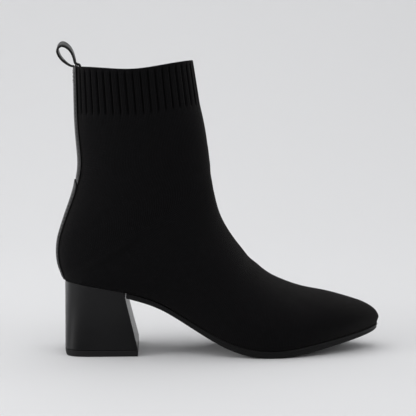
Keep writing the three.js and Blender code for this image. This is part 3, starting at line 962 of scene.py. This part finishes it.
def add_sheet(name, colour):
    """Floor that curves up into the backdrop."""
    finish = Finish(name, colour, 0.85, 0.1)
    finish.bump(finish.noise(2 * MM, 2.0), 0.02 * MM, 0.2)
    shape = bmesh.new()
    bmesh.ops.create_grid(shape, x_segments=1, y_segments=1, size=3.0)
    back = [edge for edge in shape.edges if all(vert.co.y > 1 for vert in edge.verts)]
    for vert in shape.verts:
        vert.co.y = 2.0 if vert.co.y > 0 else -3.0
    raised = bmesh.ops.extrude_edge_only(shape, edges=back)["geom"]
    lifted = [item for item in raised if isinstance(item, bmesh.types.BMVert)]
    bmesh.ops.translate(shape, verts=lifted, vec=(0, 0, 3.5))
    bmesh.ops.bevel(
        shape, geom=back, offset=1.4, segments=24, profile=0.5,
        affect="EDGES", material=-1)
    new_piece(name, shape, [finish.material])


def add_lamp(name, place, aim, size, power):
    data = bpy.data.lights.new(name, "AREA")
    data.shape = "RECTANGLE"
    data.size, data.size_y = size
    data.energy = power
    lamp = bpy.data.objects.new(name, data)
    lamp.location = place
    lamp.rotation_euler = (Vector(aim) - Vector(place)).to_track_quat("-Z", "Y").to_euler()
    bpy.context.scene.collection.objects.link(lamp)


# Strength of the light from all round: toward the camera, and from the sides to the back.
CAMERA_SIDE_LIGHT = 0.10
SIDE_LIGHT = 1.0
BACK_LIGHT = 1.3


def add_world():
    """Even pale light from all round, dimmer where the camera stands."""
    world = bpy.data.worlds.new("studio")
    world.use_nodes = True
    tree = world.node_tree
    background = tree.nodes["Background"]
    background.inputs["Color"].default_value = (1, 1, 1.01, 1)
    way = tree.nodes.new("ShaderNodeTexCoord")
    parts = tree.nodes.new("ShaderNodeSeparateXYZ")
    tree.links.new(way.outputs["Generated"], parts.inputs[0])
    dimmed = tree.nodes.new("ShaderNodeMapRange")
    dimmed.interpolation_type = "SMOOTHSTEP"
    dimmed.inputs["From Min"].default_value = -1.0
    dimmed.inputs["From Max"].default_value = -0.5
    dimmed.inputs["To Min"].default_value = CAMERA_SIDE_LIGHT
    dimmed.inputs["To Max"].default_value = SIDE_LIGHT
    behind = tree.nodes.new("ShaderNodeMapRange")
    behind.inputs["To Min"].default_value = SIDE_LIGHT
    behind.inputs["To Max"].default_value = BACK_LIGHT
    both = tree.nodes.new("ShaderNodeMath")
    both.operation = "MULTIPLY"
    for number, part in enumerate((dimmed, behind)):
        tree.links.new(parts.outputs["Y"], part.inputs["Value"])
        tree.links.new(part.outputs["Result"], both.inputs[number])
    tree.links.new(both.outputs[0], background.inputs["Strength"])
    bpy.context.scene.world = world


def add_camera(settings):
    data = bpy.data.cameras.new("camera")
    data.sensor_fit = "HORIZONTAL"
    data.angle = settings.view_angle
    data.clip_start = 0.01
    camera = bpy.data.objects.new("camera", data)
    camera.location = (
        settings.aim - settings.distance * math.sin(settings.turn),
        -settings.distance * math.cos(settings.turn),
        settings.height)
    camera.rotation_euler = (math.pi / 2 - settings.pitch, 0, -settings.turn)
    bpy.context.scene.collection.objects.link(camera)
    bpy.context.scene.camera = camera


# Operators

class BOOT_OT_stage(bpy.types.Operator):
    """Add the floor, the lights and the camera"""
    bl_idname = "boot.stage"
    bl_label = "Stage"

    def execute(self, context):
        settings = context.scene.boot_stage
        context.scene.view_settings.view_transform = "Standard"
        add_sheet("floor", settings.floor_colour)
        add_world()
        add_lamp("top_light", (-0.25, 0.30, 1.6), (0, 0, 0.1), (1.4, 1.2), 2.4)
        add_lamp("left_light", (-1.25, -0.38, 0.45), (-0.1, 0, 0.06), (0.6, 0.6), 4.7)
        add_lamp("wall_light", (0, 1.4, 1.8), (0, 1.4, 0.2), (2.0, 0.5), 3.2)
        add_camera(settings)
        return {"FINISHED"}


class BOOT_OT_upper(bpy.types.Operator):
    """Model the knit upper with its ribbed cuff"""
    bl_idname = "boot.upper"
    bl_label = "Knit upper"

    def execute(self, context):
        knit_upper(context.scene.boot_knit)
        return {"FINISHED"}


class BOOT_OT_strips(bpy.types.Operator):
    """Model the leather strips on the back and their stitches"""
    bl_idname = "boot.strips"
    bl_label = "Leather strips"

    def execute(self, context):
        settings = context.scene.boot_leather
        leather = leather_finish("leather", settings.colour, 0.4, 0.03 * MM, 0.28)
        materials = [leather, edge_and_shade_finish()]
        thread = thread_finish()
        for node, shape_end in (("back_strip", reach_loop), ("heel_strip", raise_lap)):
            strip_piece(node + "_leather", node, materials, shape_end)
            stitched_piece(node + "_stitches", stitch_rows(node, settings), settings, thread)
        return {"FINISHED"}


class BOOT_OT_pull_loop(bpy.types.Operator):
    """Model the pull loop and its stitches"""
    bl_idname = "boot.pull_loop"
    bl_label = "Pull loop"

    def execute(self, context):
        settings = context.scene.boot_leather
        leather = leather_finish("loop_leather", settings.colour, 0.4, 0.03 * MM)
        pull_loop([leather, edge_and_shade_finish()])
        stitched_piece("loop_stitches", loop_stitches(), settings, thread_finish(), 1.7 * MM)
        return {"FINISHED"}


class BOOT_OT_heel(bpy.types.Operator):
    """Model the covered heel and its lift"""
    bl_idname = "boot.heel"
    bl_label = "Heel"

    def execute(self, context):
        settings = context.scene.boot_heel
        cover = leather_finish("heel_cover", settings.colour, 0.33, 0.012 * MM, 0.22)
        block_piece("heel_block", "heel", "heel_cover", cover, settings.edge)
        block_piece("heel_lift", "heel_tip", "rubber", rubber_finish(), 0.4 * MM)
        return {"FINISHED"}


class BOOT_OT_sole(bpy.types.Operator):
    """Model the outsole and the insole"""
    bl_idname = "boot.sole"
    bl_label = "Sole and insole"

    def execute(self, context):
        settings = context.scene.boot_sole
        block_piece("sole_edge", "outsole", "sole", sole_finish(settings.colour), settings.edge,
                    angle=math.radians(24))
        block_piece("footbed", "insole", "lining", lining_finish(), 0.5 * MM)
        return {"FINISHED"}


class BOOT_PT_panel(bpy.types.Panel):
    """Pieces of the boot and their settings"""
    bl_label = "Knit ankle boot"
    bl_idname = "BOOT_PT_panel"
    bl_space_type = "VIEW_3D"
    bl_region_type = "UI"
    bl_category = "Boot"

    def draw(self, context):
        for operator, group in STEPS:
            box = self.layout.box()
            box.operator(operator.bl_idname)
            settings = getattr(context.scene, group)
            for name in settings.bl_rna.properties.keys():
                if name not in ("rna_type", "name"):
                    box.prop(settings, name)


GROUPS = {
    "boot_knit": KnitSettings,
    "boot_leather": LeatherSettings,
    "boot_heel": HeelSettings,
    "boot_sole": SoleSettings,
    "boot_stage": StageSettings,
}
STEPS = (
    (BOOT_OT_stage, "boot_stage"),
    (BOOT_OT_upper, "boot_knit"),
    (BOOT_OT_strips, "boot_leather"),
    (BOOT_OT_pull_loop, "boot_leather"),
    (BOOT_OT_heel, "boot_heel"),
    (BOOT_OT_sole, "boot_sole"),
)
CLASSES = (*GROUPS.values(), *(operator for operator, _ in STEPS), BOOT_PT_panel)


def register():
    for item in CLASSES:
        bpy.utils.register_class(item)
    for name, group in GROUPS.items():
        setattr(bpy.types.Scene, name, bpy.props.PointerProperty(type=group))


def unregister():
    for name in GROUPS:
        delattr(bpy.types.Scene, name)
    for item in reversed(CLASSES):
        bpy.utils.unregister_class(item)


def main():
    register()
    bpy.ops.boot.stage()
    bpy.ops.boot.upper()
    bpy.ops.boot.strips()
    bpy.ops.boot.pull_loop()
    bpy.ops.boot.heel()
    bpy.ops.boot.sole()


if __name__ == "__main__":
    main()
